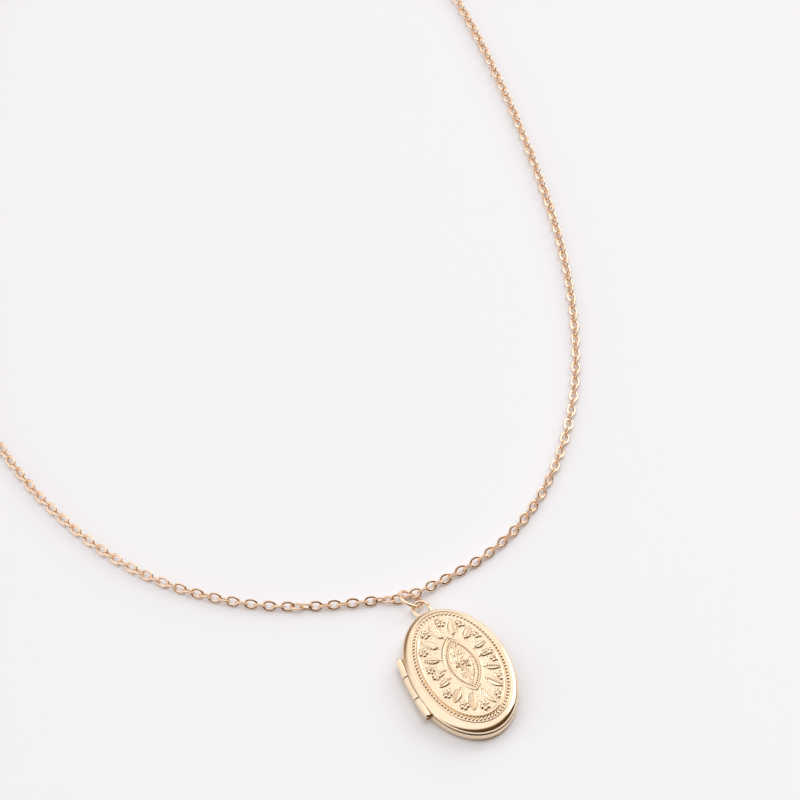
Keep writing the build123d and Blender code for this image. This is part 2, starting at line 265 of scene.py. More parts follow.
# ---------------------------------------------------------------- chain
CHAIN_Z = 1.0
LINK_HALF = (1.12, 0.80)  # half length and width of a link, to the middle of its wire
LINK_OVAL = 2.3  # a little squarer than an ellipse
LINK_WIRE = (0.235, 0.185)  # half the width of the wire's flat face, and half its thickness
LINK_PITCH = 1.76
LINK_FLATNESS = 3.2  # exponent of the wire's section, which has two flats
LINK_ROLL = -45  # degrees; links lean this way and that in turn
LINK_SLACK = 5  # degrees by which a link's roll strays
HEADING_STEP = 0.6  # how far before and after a link its heading is taken
LAST_GAP = 0.35  # from the last link's middle to the end of its run

LEFT_ROUTE = [
    (-8, 22.7),
    (-18, 25.4),
    (-29.5, 30.8),
    (-40, 39),
    (-47.5, 48),
    (-53.5, 59.5),
    (-59, 77),
    (-61, 102),
    (-51.5, 131.5),
    (-39.5, 161),
    (-27.5, 184.5),
    (-15.5, 199.5),
    (3.5, 200),
    (20, 193.5),
]
RIGHT_ROUTE = [
    (7.9, 22.2),
    (15, 23.3),
    (25, 27.8),
    (34.5, 35.3),
    (43, 45.4),
    (50, 57),
    (55.7, 70.5),
    (60.7, 87.5),
    (64, 106),
    (66.5, 127),
    (67.8, 150),
    (67, 166.5),
    (51.5, 179.7),
    (33.1, 187.8),
]


def cord_line(name, route):
    """Points along the smooth spline that has the route as its control points, in metres."""
    curve = bpy.data.curves.new(name, "CURVE")
    curve.dimensions = "3D"
    curve.resolution_u = 32
    spline = curve.splines.new("NURBS")
    spline.points.add(len(route) - 1)
    for point, (x, y) in zip(spline.points, route):
        point.co = (x * MM, y * MM, CHAIN_Z * MM, 1.0)
    spline.order_u = 3
    spline.use_endpoint_u = True
    holder = bpy.data.objects.new(name, curve)
    scene.collection.objects.link(holder)
    line = bpy.data.meshes.new_from_object(holder)
    points = np.array([v.co for v in line.vertices])
    bpy.data.objects.remove(holder)
    bpy.data.meshes.remove(line)
    return points


link_section = wire_section(*LINK_WIRE, LINK_FLATNESS, 12)
link_path, link_outward = oval_path(*LINK_HALF, LINK_OVAL, 32)
link_verts, link_faces = loop_wire(link_path, link_outward, (0, 0, 1), link_section)
link_faces = np.array(link_faces)


def link_frame(heading, roll):
    """Columns: along the chain, across the link and the link's face normal."""
    heading = unit(heading)
    side = unit(np.cross((0, 0, 1), heading))
    upward = np.cross(heading, side)
    normal = upward * math.cos(roll) - side * math.sin(roll)
    return np.stack([heading, np.cross(normal, heading), normal], 1)


def join_links(placed):
    """One mesh of links, each given by its middle and its frame."""
    verts = [middle + link_verts @ axes.T for middle, axes in placed]
    faces = [link_faces + n * len(link_verts) for n in range(len(placed))]
    return np.concatenate(verts), np.concatenate(faces)


def chain_run(name, route, first_at, twists):
    """A run of links from the locket to the clasp, threaded along its own line.

    The first link's middle is first_at along it, and twists says how far the links have
    turned, in degrees, at distances along the run.
    """
    line = cord_line(name + "_line", route)
    steps = np.linalg.norm(np.diff(line, axis=0), axis=1)
    along = np.concatenate([[0], np.cumsum(steps)])
    length = along[-1]
    count = round((length / MM - first_at - LAST_GAP) / LINK_PITCH)
    stations = np.linspace(first_at * MM, length - LAST_GAP * MM, count + 1)

    def on_line(distances):
        return np.stack([np.interp(distances, along, line[:, i]) for i in range(3)], 1)

    where = on_line(stations) / MM
    ahead = on_line(stations + HEADING_STEP * MM)
    behind = on_line(stations - HEADING_STEP * MM)
    slack = rng.normal(0, LINK_SLACK, count + 1)
    drift = np.interp(stations / MM, [t[0] for t in twists], [t[1] for t in twists])
    placed = []
    for n in range(count + 1):
        roll = LINK_ROLL * (-1) ** n + drift[n] + slack[n] * min(1, n / 3)
        placed.append((where[n], link_frame(ahead[n] - behind[n], math.radians(roll))))
    verts, faces = join_links(placed)
    piece = make_piece(name + "_links", verts, faces, "back", chain_gold)
    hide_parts(name)


def islands(co, edges):
    """Point numbers of each loose part, with points at one place taken as one."""
    _, parent = np.unique(np.round(co, 4), axis=0, return_inverse=True)
    group = parent.ravel().tolist()
    root = list(range(max(group) + 1))

    def find(i):
        while root[i] != i:
            root[i] = root[root[i]]
            i = root[i]
        return i

    for a, b in edges:
        root[find(group[a])] = find(group[b])
    parts = {}
    for i, g in enumerate(group):
        parts.setdefault(find(g), []).append(i)
    return list(parts.values())


def centre_link_frames():
    """Where each link at the jump ring lies, read from the CAD links themselves."""
    mesh = nodes["centre_links"].data
    co = np.array([v.co for v in mesh.vertices]) / MM
    placed = []
    for part in islands(co, [tuple(e.vertices) for e in mesh.edges]):
        points = np.unique(np.round(co[part], 4), axis=0)
        _, axes = np.linalg.eigh(np.cov((points - points.mean(0)).T))
        heading, normal = axes[:, 2], axes[:, 0]
        side = np.cross(normal, heading)
        along, across, through = points @ heading, points @ side, points @ normal
        middle = (
            heading * (along.max() + along.min()) / 2
            + side * (across.max() + across.min()) / 2
            + normal * (through.max() + through.min()) / 2
        )
        placed.append((middle, np.stack([heading, side, normal], 1)))
    return placed


verts, faces = join_links(centre_link_frames())
centre = make_piece("centre_links_fine", verts, faces, "back", chain_gold)
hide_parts("centre_links")

left_twists = [(0, 0), (11.1, 0), (16.4, 90), (250, 90)]
right_twists = [(0, 0), (28, 0), (36, -17), (250, -17)]
chain_run("left_chain", LEFT_ROUTE, 0.5, left_twists)
chain_run("right_chain", RIGHT_ROUTE, 0.45, right_twists)


# ---------------------------------------------------------------- front cover
# Pairs are half the width and half the length of an oval.
OUTLINE = np.array([10.0, 15.0])
BORDER_OUTER = np.array([8.6, 13.5])
BEAD_LINE = np.array([7.98, 12.87])
FIELD_EDGE = np.array([7.35, 12.1])
CAVITY = np.array([8.5, 13.5])
SEAM_Z = 2.4
ROOF_Z = 3.4  # top of the front's cavity
HINGE_X = -9.75
HINGE_HALF = 7.1
KNUCKLE_RADIUS = 0.85
CREASE_WIDTH = 0.11
FIELD_CENTRE = np.array([0.2, 0.3])
PATTERN_CENTRE = np.array([0.65, 0.5])
BEADS = 88
GRID = (192, 320)  # cells across and along the field


def smooth(t):
    t = np.clip(t, 0, 1)
    return t * t * (3 - 2 * t)


def set_painted_shade(piece, shade_share):
    """How much painted shade, standing in for the shade of a recess, each point of a piece shows."""
    layer = piece.data.attributes.new("painted_shade", "FLOAT", "POINT")
    layer.data.foreach_set("value", np.clip(shade_share, 0, 1).astype(np.float32))


def hinge_crease_shade(points):
    """Painted shade: one along the crease where a cover meets the hinge's knuckles, where shade falls."""
    off_axis = np.hypot(points[:, 0] - HINGE_X, points[:, 2] - SEAM_Z) - KNUCKLE_RADIUS
    return np.exp(-((off_axis / CREASE_WIDTH) ** 2)) * (abs(points[:, 1]) < HINGE_HALF + 0.15)


def to_local(X, Y, base, tip):
    """Distance along and across the line from base to tip, and its length."""
    base, tip = np.asarray(base, float), np.asarray(tip, float)
    length = np.linalg.norm(tip - base)
    ux, uy = (tip - base) / length
    dx, dy = X - base[0], Y - base[1]
    return dx * ux + dy * uy, dy * ux - dx * uy, length


LEAF_HEIGHT = 0.22
VEIN_PITCH = 0.46
FLOWER_HEIGHT = 0.24
PETALS = 5


def leaf(X, Y, base, tip, width, height=LEAF_HEIGHT):
    """Height of a pointed, veined leaf with a notched edge, and the distance outside it."""
    p, q, length = to_local(X, Y, base, tip)
    t = np.clip(p / length, 0, 1)
    vein = (p - abs(q) * 0.9) / VEIN_PITCH
    notch = 0.10 * np.abs(np.mod(vein, 1.0) - 0.5)
    half = width * (4 * t * (1 - t)) ** 0.7 * (1.12 - 0.35 * t) + 1e-6
    inside = 1 - abs(q) / (half - notch + 0.02)
    body = smooth(inside / 0.28) * (p > 0) * (p < length)
    ribs = 0.5 - 0.5 * np.cos(2 * np.pi * vein)
    midrib = np.exp(-((q / 0.075) ** 2))
    edge = np.where((p > 0) & (p < length), abs(q) - half, 1.0)
    return body * (height * (0.62 + 0.38 * ribs) - 0.16 * midrib * smooth((length - p) / 0.4)), edge


def flower(X, Y, centre, radius, turn):
    """Height of five round petals about a button, and the distance outside them."""
    dx, dy = X - centre[0], Y - centre[1]
    nearest = np.full_like(X, 9.0)
    for k in range(PETALS):
        a = turn + k * 2 * np.pi / PETALS
        d = np.hypot(dx - radius * 0.62 * np.cos(a), dy - radius * 0.62 * np.sin(a))
        nearest = np.minimum(nearest, d)
    petal = radius * 0.40
    top = np.sqrt(np.clip(1 - (nearest / petal) ** 2, 0, 1))
    button = np.sqrt(np.clip(1 - (np.hypot(dx, dy) / (radius * 0.24)) ** 2, 0, 1))
    return FLOWER_HEIGHT * np.maximum(top, 0.85 * button), nearest - petal


def stamp(relief, cuts, shape, outline=0.5):
    """The relief with a shape raised on it, and the cuts with a groove round the shape."""
    height, edge = shape
    groove = outline * np.exp(-(((edge - 0.07) / 0.08) ** 2))
    return np.maximum(relief, height), np.maximum(cuts, groove)


def stroke(X, Y, start, end, half_width):
    """One at the middle of an engraved stroke, falling to nought at its sides."""
    p, q, length = to_local(X, Y, start, end)
    past = np.maximum(0, np.maximum(-p, p - length))
    return np.exp(-((np.hypot(q, past) / half_width) ** 2))


def dot(X, Y, px, py, radius=0.13):
    """One at the middle of a punched dot."""
    return np.exp(-(((X - px) ** 2 + (Y - py) ** 2) / radius**2))


# Base, tip and half width of each leaf, and middle and size of each flower, from the
# pattern's centre; each is repeated after half a turn.
LEAVES = [
    ((1.0, 6.75), (2.3, 10.6), 0.95),
    ((-1.0, 6.75), (-2.3, 10.5), 0.95),
    ((-2.8, 5.0), (-5.2, 7.6), 0.9),
    ((2.75, 5.1), (5.0, 7.6), 0.9),
    ((-3.65, 2.3), (-6.5, 3.3), 0.78),
    ((3.65, 2.4), (6.1, 3.3), 0.72),
    ((-3.85, -0.3), (-6.4, -1.1), 0.65),
]
FLOWERS = [
    (-0.05, 10.4, 1.05),
    (-3.75, 9.0, 1.05),
    (3.5, 8.9, 1.0),
    (-5.75, 5.3, 1.0),
    (5.35, 5.3, 0.95),
    (-6.1, 1.0, 0.9),
    (5.75, 0.8, 0.85),
]
MANDORLA = (3.25, 6.5)  # half width and half length of the pointed oval
BAND_WIDTH = 1.22  # from its outer line to its inner one
BAND_BEADS_IN = 0.66
BAND_BEAD_PITCH = 0.56
arc_radius = (MANDORLA[0] ** 2 + MANDORLA[1] ** 2) / (2 * MANDORLA[0])

ROSETTE_PETALS = 8
FINE_OUTLINE = 0.35  # depth of the groove round the small leaves
SPRIG_DOTS = [(-1.25, 2.1), (1.25, 2.1), (-0.5, 4.05), (0.5, 4.05), (1.8, 0.9), (-1.8, 0.9)]


def ridge(distance, half_width, height):
    """Height of a half-round ridge at a distance from its middle line."""
    return height * np.sqrt(np.clip(1 - (distance / half_width) ** 2, 0, 1))


def field_relief(X, Y):
    """Height of the embossing over the field's ground, and how deep its cuts are."""
    gx, gy = X - PATTERN_CENTRE[0], Y - PATTERN_CENTRE[1]
    relief = np.zeros_like(X)
    cuts = np.zeros_like(X)

    # Pointed oval: a smooth outer line, a beaded band and a smooth inner line.
    edge = np.hypot(np.abs(gx) + arc_radius - MANDORLA[0], gy) - arc_radius
    relief = np.maximum(relief, ridge(edge, 0.24, 0.22))
    relief = np.maximum(relief, ridge(edge + BAND_WIDTH, 0.17, 0.2))
    along = arc_radius * np.arctan2(gy, np.abs(gx) + arc_radius - MANDORLA[0])
    spot = (np.mod(along / BAND_BEAD_PITCH, 1) - 0.5) * BAND_BEAD_PITCH
    relief = np.maximum(relief, ridge(np.hypot(spot, edge + BAND_BEADS_IN), 0.26, 0.26))

    # Inside it: an eight-petalled rosette with sprigs above and below.
    for k in range(ROSETTE_PETALS):
        a = k * 2 * math.pi / ROSETTE_PETALS + 0.2
        ray = np.array([math.cos(a), 1.2 * math.sin(a)])
        relief, cuts = stamp(relief, cuts, leaf(gx, gy, ray * 0.3, ray * 1.55, 0.34), FINE_OUTLINE)
    relief = np.maximum(relief, ridge(np.hypot(gx, gy), 0.32, 0.26))
    for sign in (1, -1):
        for lean in (-0.62, 0.0, 0.62):
            base, tip = (lean * 0.6, sign * 1.95), (lean * 1.7, sign * (4.2 - 1.3 * abs(lean)))
            relief, cuts = stamp(relief, cuts, leaf(gx, gy, base, tip, 0.38, 0.2), FINE_OUTLINE)
        for px, py in SPRIG_DOTS:
            cuts = np.maximum(cuts, dot(gx, gy, px * sign, py * sign))

    # Round it: leaves and flowers, the same again after half a turn.
    for sign in (1, -1):
        for base, tip, width in LEAVES:
            base, tip = np.multiply(base, sign), np.multiply(tip, sign)
            relief, cuts = stamp(relief, cuts, leaf(gx, gy, base, tip, width))
            out = (tip - base) / np.linalg.norm(tip - base)
            cuts = np.maximum(cuts, stroke(gx, gy, base - out * 0.35, base + out * 0.15, 0.10))
        for number, (fx, fy, size) in enumerate(FLOWERS):
            fx, fy = fx * sign, fy * sign
            turn = number * 0.7 + (0 if sign > 0 else math.pi)
            relief, cuts = stamp(relief, cuts, flower(gx, gy, (fx, fy), size, turn))
            inward = math.atan2(-fy * 0.5, -fx)
            for j in range(PETALS):
                b = turn + (j + 0.5) * 2 * math.pi / PETALS
                px, py = fx + size * 0.80 * math.cos(b), fy + size * 0.80 * math.sin(b)
                cuts = np.maximum(cuts, dot(gx, gy, px, py))
            for lean in (-0.35, 0.35):
                b = inward + lean
                px, py = fx + size * 1.4 * math.cos(b), fy + size * 1.4 * math.sin(b)
                cuts = np.maximum(cuts, dot(gx, gy, px, py, 0.11))
    return relief, cuts


GROUND_EDGE_Z = 4.02
GROUND_DOME = 0.27  # how much higher the field's middle stands than its edge
CUT_DEPTH = 0.14
CUT_PAINTED_SHADE = 0.4  # share of the painted shade colour at the bottom of a cut


def field_height(x, y):
    """Height of the front in the field, and how much painted shade each point shows in its cuts."""
    lx, ly = (x - FIELD_CENTRE[0]) / FIELD_EDGE[0], (y - FIELD_CENTRE[1]) / FIELD_EDGE[1]
    r = np.hypot(lx, ly)
    ground = GROUND_EDGE_Z + GROUND_DOME * (1 - r**4)
    inward = (1 - r) * 9.5  # roughly millimetres in from the field's edge
    keep = smooth((inward - 0.28) / 0.22)
    relief, cuts = field_relief(x, y)
    rolled_edge = 0.10 * np.sqrt(np.clip(1 - ((inward - 0.12) / 0.30) ** 2, 0, 1))
    grain = 0.002 * np.sin(x * 9.1 + 2 * np.sin(y * 3.3)) * np.sin(y * 8.3 + 2 * np.sin(x * 2.7))
    # The cuts give both the depth and the painted shade at their bottoms.
    return ground + grain + keep * (relief - CUT_DEPTH * cuts) + rolled_edge, cuts * keep * CUT_PAINTED_SHADE


def disc_grid(columns, rows):
    """A square grid pulled out to a unit disc, and its boundary in order."""
    u, v = np.meshgrid(np.linspace(-1, 1, columns + 1), np.linspace(-1, 1, rows + 1))
    points = np.stack([u * np.sqrt(1 - v**2 / 2), v * np.sqrt(1 - u**2 / 2)], -1).reshape(-1, 2)
    number = np.arange((columns + 1) * (rows + 1)).reshape(rows + 1, columns + 1)
    corners = [number[:-1, :-1], number[:-1, 1:], number[1:, 1:], number[1:, :-1]]
    quads = np.stack(corners, -1).reshape(-1, 4)
    rim = np.concatenate([number[0, :-1], number[:-1, -1], number[-1, :0:-1], number[:0:-1, 0]])
    return points, quads, rim


grid_points, grid_quads, grid_rim = disc_grid(*GRID)
x = grid_points[:, 0] * FIELD_EDGE[0] + FIELD_CENTRE[0]
y = grid_points[:, 1] * FIELD_EDGE[1] + FIELD_CENTRE[1]
z, cuts = field_height(x, y)
rim_dirs = grid_points[grid_rim]  # cosine and sine of each boundary point
rim_angle = np.unwrap(np.arctan2(rim_dirs[:, 1], rim_dirs[:, 0]))
front_rows = [np.stack([x, y, z], 1)]
front_painted_shade = [cuts]

# Beads stand an even distance apart along their own oval.
fine = np.linspace(0, 2 * np.pi, 7201)
fine_steps = np.hypot(BEAD_LINE[0] * np.sin(fine), BEAD_LINE[1] * np.cos(fine))
fine_along = np.concatenate([[0], np.cumsum((fine_steps[1:] + fine_steps[:-1]) / 2 * (fine[1] - fine[0]))])
bead_pitch = fine_along[-1] / BEADS
rim_along = np.interp(np.mod(rim_angle, 2 * np.pi), fine, fine_along)
off_bead = (np.mod(rim_along / bead_pitch + 0.5, 1) - 0.5) * bead_pitch


def ring_row(half_axes, centre, heights, shade_share):
    """One ring of points on an oval, as high as heights says, and how much painted shade it shows."""
    plan = rim_dirs * half_axes + centre
    heights = np.broadcast_to(heights, len(plan))
    front_rows.append(np.concatenate([plan, heights[:, None]], 1))
    front_painted_shade.append(np.broadcast_to(shade_share, len(plan)))


BORDER_FLOOR = 3.78
BORDER_WIDTH = 1.33
BEAD_RADIUS = 0.34
GAP_RADIUS = 0.26
# Painted shade in the gaps between beads, which also dip, and at the foot of the step down from the field.
GAP_PAINTED_SHADE = 0.5
GAP_DIP = -0.16
FOOT_PAINTED_SHADE = 0.45
STEP_DOWN = [(0.025, 4.08), (0.05, 3.97), (0.07, 3.83), (0.10, 3.76), (0.15, BORDER_FLOOR)]
ACROSS_BEADS = (0.23, 0.29, 0.35, 0.41, 0.47, 0.53, 0.59, 0.65, 0.71, 0.77, 0.82)
OUTER_LINE = [(0.865, 3.80), (0.895, 3.88), (0.93, 3.91), (0.965, 3.89), (0.99, 3.80), (1.01, 3.72)]

# Share of the way across the border, and height there.
border = STEP_DOWN + [(share, BORDER_FLOOR) for share in ACROSS_BEADS] + OUTER_LINE
bead_share = (BEAD_LINE[0] - FIELD_EDGE[0]) / (BORDER_OUTER[0] - FIELD_EDGE[0])
for share, height in border:
    across = (share - bead_share) * BORDER_WIDTH
    bead = np.sqrt(np.clip(BEAD_RADIUS**2 - across**2 - off_bead**2, 0, None)) * 0.9
    off_gap = np.hypot(across, abs(off_bead) - bead_pitch / 2)
    in_gap = np.clip(1 - off_gap / GAP_RADIUS, 0, 1) * GAP_PAINTED_SHADE
    dip = GAP_DIP * smooth(in_gap)
    inside = 0.12 < share < 0.84
    heights = np.maximum(height + dip, BORDER_FLOOR - 0.04 + bead) if inside else height
    # Painted shade at the foot of the step and in the bead gaps.
    foot_shade = FOOT_PAINTED_SHADE * math.exp(-(((share - 0.10) / 0.03) ** 2))
    shade_share = np.maximum(in_gap, foot_shade) if inside else foot_shade
    ring_row(FIELD_EDGE + (BORDER_OUTER - FIELD_EDGE) * share, FIELD_CENTRE, heights, shade_share)

RIM_TOP_Z = 3.74
RIM_FOOT_Z = 2.60
RIM_ROLL = 1.36  # how far in from the outline the rim starts to round off
RIM_WIDTH = 1.4
RIM_STEPS = 14
for step in range(1, RIM_STEPS + 1):
    a = math.radians(90 - 90 * step / RIM_STEPS)
    inset = RIM_ROLL * (1 - math.cos(a))
    half_axes = OUTLINE - (OUTLINE - BORDER_OUTER) * inset / RIM_WIDTH
    centre = FIELD_CENTRE * inset / RIM_WIDTH
    ring_row(half_axes, centre, RIM_FOOT_Z + (RIM_TOP_Z - RIM_FOOT_Z) * math.sin(a) ** 0.95, 0.0)

# The seam's groove, with painted shade: height over the seam, how far in, and how much painted shade it
# shows.
SEAM_ROWS = [(0.19, 0.01, 0.8), (0.16, 0.06, 1.0), (0.09, 0.18, 1.0), (0.0, 0.32, 1.0)]
for rise, inset, shade_share in SEAM_ROWS:
    ring_row(OUTLINE - inset, 0, SEAM_Z + rise, shade_share)
ring_row(CAVITY, 0, SEAM_Z, 0.0)
ring_row(CAVITY, 0, ROOF_Z, 0.0)

columns = len(grid_rim)
first_row = len(grid_points)
row_count = len(front_rows) - 1
faces = [tuple(q) for q in grid_quads]
for c in range(columns):
    n = (c + 1) % columns
    faces.append((grid_rim[n], grid_rim[c], first_row + c, first_row + n))
faces += [(b, a, d, c) for a, b, c, d in strip_faces(row_count, columns, first_row)]
faces.append(tuple(first_row + (row_count - 1) * columns + c for c in range(columns)))
verts = np.concatenate(front_rows)
front = make_piece("front_cover_embossed", verts, faces, "front", embossed_gold)
# Painted shade from the cuts, bead gaps, step foot, seam groove and hinge crease.
set_painted_shade(front, np.maximum(np.concatenate(front_painted_shade), hinge_crease_shade(verts)))
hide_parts("front_cover")


# ---------------------------------------------------------------- back cover
def oval_shell(rows, count):
    """Rings of an oval section given as (half axes, height), closed by flat ends."""
    angles = np.arange(count) * 2 * np.pi / count
    points = [np.stack([np.cos(angles) * a, np.sin(angles) * b, np.full(count, h)], 1) for a, b, h in rows]
    faces = strip_faces(len(rows), count)
    faces.append(tuple(range(count))[::-1])
    faces.append(tuple((len(rows) - 1) * count + c for c in range(count)))
    return np.concatenate(points), faces


BACK_ROUND = 1.3  # radius of its rounded lower edge
BACK_STEPS = 12
FLOOR_Z = 0.5
GROOVE_DEPTH = 0.31
BACK_SEAM = [(0.0, 0.36), (0.02, 0.29), (0.07, 0.23), (0.15, 0.17), (0.27, 0.07), (0.34, 0.0)]  # in, down

rows = []
for step in range(BACK_STEPS + 1):
    a = math.radians(90 * step / BACK_STEPS)
    rows.append((*(OUTLINE - BACK_ROUND * (1 - math.sin(a))), BACK_ROUND * (1 - math.cos(a))))
for inset, drop in BACK_SEAM:
    rows.append((*(OUTLINE - inset), SEAM_Z - drop))
rows += [(*CAVITY, SEAM_Z), (*CAVITY, FLOOR_Z)]
verts, faces = oval_shell(rows, 512)
back = make_piece("back_cover_shell", verts, faces, "back", locket_gold)
# Painted shade in the seam's groove and along the crease at the hinge.
groove = smooth((verts[:, 2] - SEAM_Z + GROOVE_DEPTH) / 0.1)
set_painted_shade(back, np.maximum(groove, hinge_crease_shade(verts)))
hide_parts("back_cover")


# ---------------------------------------------------------------- photo windows
PHOTO_HALF = np.array([8.35, 13.35])
WINDOW_EASE = 0.03


def window_sheet(name, node, low, high, body):
    """A clear oval sheet with eased edges, a hair clear of the card behind it."""
    narrow = PHOTO_HALF - WINDOW_EASE
    rows = [
        (*narrow, low),
        (*PHOTO_HALF, low + WINDOW_EASE),
        (*PHOTO_HALF, high - WINDOW_EASE),
        (*narrow, high),
    ]
    verts, faces = oval_shell(rows, 192)
    sheet = make_piece(name, verts, faces, body, photo_window, sharp=40)
    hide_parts(node)


window_sheet("back_window_sheet", "back_window", 0.72, 0.85, "back")
window_sheet("front_window_sheet", "front_window", 3.05, 3.18, "front")


# ---------------------------------------------------------------- hinge
KNUCKLE_CLEARANCE = 0.05
FRONT_CLEARANCE = 0.02  # round the knuckles that the front carries
MIDDLE_HALF = 2.65
KNUCKLE_GAP = 0.08
HINGE_SAGITTA = 0.55  # how far the knuckles' outside bows over the hinge's length
PIN_BORE = 0.19
KNUCKLE_EASE = 0.13
UPPER_END_EASE = 0.3
KNUCKLE_SIDES = 72
CUTTER_SIDES = 64


def hinge_circle(radius, along, count):
    """Points on a circle about the hinge axis, at a distance along it."""
    angles = np.arange(count) * 2 * np.pi / count
    px, pz = HINGE_X + radius * np.cos(angles), SEAM_Z + radius * np.sin(angles)
    return np.stack([px, np.full(count, along), pz], 1)


def cutter(low, high, radius):
    """A rod along the hinge axis, for cutting a clear notch."""
    ends = [hinge_circle(radius, v, CUTTER_SIDES) for v in (low, high)]
    caps = [tuple(range(CUTTER_SIDES))[::-1], tuple(range(CUTTER_SIDES, 2 * CUTTER_SIDES))]
    rod_faces = strip_faces(2, CUTTER_SIDES) + caps
    mesh = bpy.data.meshes.new("cutter")
    mesh.from_pydata((np.concatenate(ends) * MM).tolist(), [], [f[::-1] for f in rod_faces])
    rod = bpy.data.objects.new("cutter", mesh)
    scene.collection.objects.link(rod)
    return rod


def cut_away(piece, rods):
    """Cuts the rods out of a piece and keeps the result in its mesh."""
    for rod in rods:
        modifier = piece.modifiers.new("notch", "BOOLEAN")
        modifier.operation = "DIFFERENCE"
        modifier.solver = "EXACT"
        modifier.object = rod
    graph = bpy.context.evaluated_depsgraph_get()
    old = piece.data
    piece.data = bpy.data.meshes.new_from_object(piece.evaluated_get(graph), depsgraph=graph)
    piece.modifiers.clear()
    bpy.data.meshes.remove(old)
    for rod in rods:
        bpy.data.objects.remove(rod)
    piece.data.shade_smooth()
    piece.data.set_sharp_from_angle(angle=math.radians(62))


outer_to = HINGE_HALF + KNUCKLE_GAP
middle_edge = MIDDLE_HALF + KNUCKLE_GAP / 2
cleared = KNUCKLE_RADIUS + KNUCKLE_CLEARANCE
cut_away(
    front,
    [
        cutter(-outer_to, outer_to, KNUCKLE_RADIUS + FRONT_CLEARANCE),
        cutter(-middle_edge, middle_edge, cleared),
    ],
)
cut_away(
    back,
    [
        cutter(-middle_edge, middle_edge, KNUCKLE_RADIUS),
        cutter(-outer_to, -middle_edge + KNUCKLE_GAP, cleared),
        cutter(middle_edge - KNUCKLE_GAP, outer_to, cleared),
    ],
)

grind_radius = (HINGE_HALF**2 + HINGE_SAGITTA**2) / (2 * HINGE_SAGITTA)

# How an end rounds off: distance in from the end and inset, as shares of its ease, and painted shade.
END_STEPS = [(0.0, 1.0, 1.0), (0.12, 0.5, 0.9), (0.4, 0.2, 0.45), (0.8, 0.03, 0.05), (1.2, 0.0, 0.0)]
GRIND_SOFTNESS = 0.03
CREASE_FADE = 0.10


def knuckle(name, node, low, high, body, high_end=KNUCKLE_EASE):
    """A rolled hinge tube, ground on its outside to follow the oval, with eased ends and painted shade at
    its ends, in its bore and under the rim.
    """
    low_end = KNUCKLE_EASE
    stations = [(low + along * low_end, low_end * inset, dark) for along, inset, dark in END_STEPS]
    stations += [(v, 0.0, 0.0) for v in np.linspace(low + 0.5, high - 0.5, 14)]
    stations += [(high - along * high_end, high_end * inset, dark) for along, inset, dark in END_STEPS[::-1]]
    rings, shade_share = [], []
    for station, inset, dark in stations:
        ring = hinge_circle(KNUCKLE_RADIUS - inset, station, KNUCKLE_SIDES)
        sag = grind_radius - math.sqrt(grind_radius**2 - station**2)
        limit = HINGE_X - KNUCKLE_RADIUS + sag + inset
        # The ground face meets the round tube in a soft edge.
        over = np.clip((ring[:, 0] - limit) / GRIND_SOFTNESS, -40, 40)
        ring[:, 0] = limit + np.log1p(np.exp(over)) * GRIND_SOFTNESS
        rings.append(ring)
        # Painted shade where the tube dips under the rim beside it.
        inside = OUTLINE[0] * math.sqrt(1 - (station / OUTLINE[1]) ** 2) + ring[:, 0]
        slope = np.clip(1 - inside / RIM_ROLL, -1, 1)
        above = ring[:, 2] - RIM_FOOT_Z - (RIM_TOP_Z - RIM_FOOT_Z) * np.sqrt(1 - slope**2)
        under_rim_shade = np.where(inside > -0.08, np.exp(-((np.maximum(above, 0) / CREASE_FADE) ** 2)), 0)
        shade_share.append(np.maximum(dark, under_rim_shade))
    bore = [hinge_circle(PIN_BORE, v, KNUCKLE_SIDES) for v in (high, low)]
    # The bore at each end is painted wholly in shade.
    shade_share += [np.ones(KNUCKLE_SIDES)] * 2
    faces = [f[::-1] for f in strip_faces(len(rings) + 2, KNUCKLE_SIDES, closed_rows=True)]
    verts = np.concatenate(rings + bore)
    piece = make_piece(name, verts, faces, body, locket_gold, sharp=50)
    set_painted_shade(piece, np.concatenate(shade_share))
    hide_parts(node)


middle_to = middle_edge - KNUCKLE_GAP
knuckle("knuckle_upper_tube", "hinge_knuckle_upper", middle_edge, HINGE_HALF, "front", UPPER_END_EASE)
knuckle("knuckle_middle_tube", "hinge_knuckle_middle", -middle_to, middle_to, "back")
knuckle("knuckle_lower_tube", "hinge_knuckle_lower", -HINGE_HALF, -middle_edge, "front")


# ---------------------------------------------------------------- bail and rings
BAIL_CENTRE = np.array([-0.6, 16.75, 1.75])
BAIL_RADIUS = 1.55
BAIL_STRAIGHT = 0.25
BAIL_WIRE = 0.35
RING_CENTRE = np.array([-1.6, 19.7, 1.8])
RING_NORMAL = unit((0.54, 0.18, 0.82))
RING_RADIUS = 2.4
RING_WIRE = 0.325
SOLDER_SWELL = 0.22  # how much thicker the bail's wire is where it is soldered
SOLDER_IN = 0.12  # how far inside the outline its ends lie


def torus(centre, normal, radius, section, steps):
    """A ring of wire about a centre."""
    normal = unit(normal)
    across = unit(np.cross(normal, (0, 0, 1) if abs(normal[2]) < 0.9 else (0, 1, 0)))
    other = np.cross(normal, across)
    angles = np.arange(steps) * 2 * np.pi / steps
    outs = np.cos(angles)[:, None] * across + np.sin(angles)[:, None] * other
    return loop_wire(centre + outs * radius, outs, normal, section)


ring_section = wire_section(RING_WIRE, RING_WIRE, 2, 24)
verts, faces = torus(RING_CENTRE, RING_NORMAL, RING_RADIUS, ring_section, 96)
ring = make_piece("jump_ring_wire", verts, faces, "ring", chain_gold)
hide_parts("jump_ring")

bail_path, bail_out = racetrack(BAIL_STRAIGHT, BAIL_RADIUS, 40)
quarter_turn = np.array([[0, -1, 0], [1, 0, 0], [0, 0, 1]])
bail_path, bail_out = bail_path @ quarter_turn.T + BAIL_CENTRE, bail_out @ quarter_turn.T

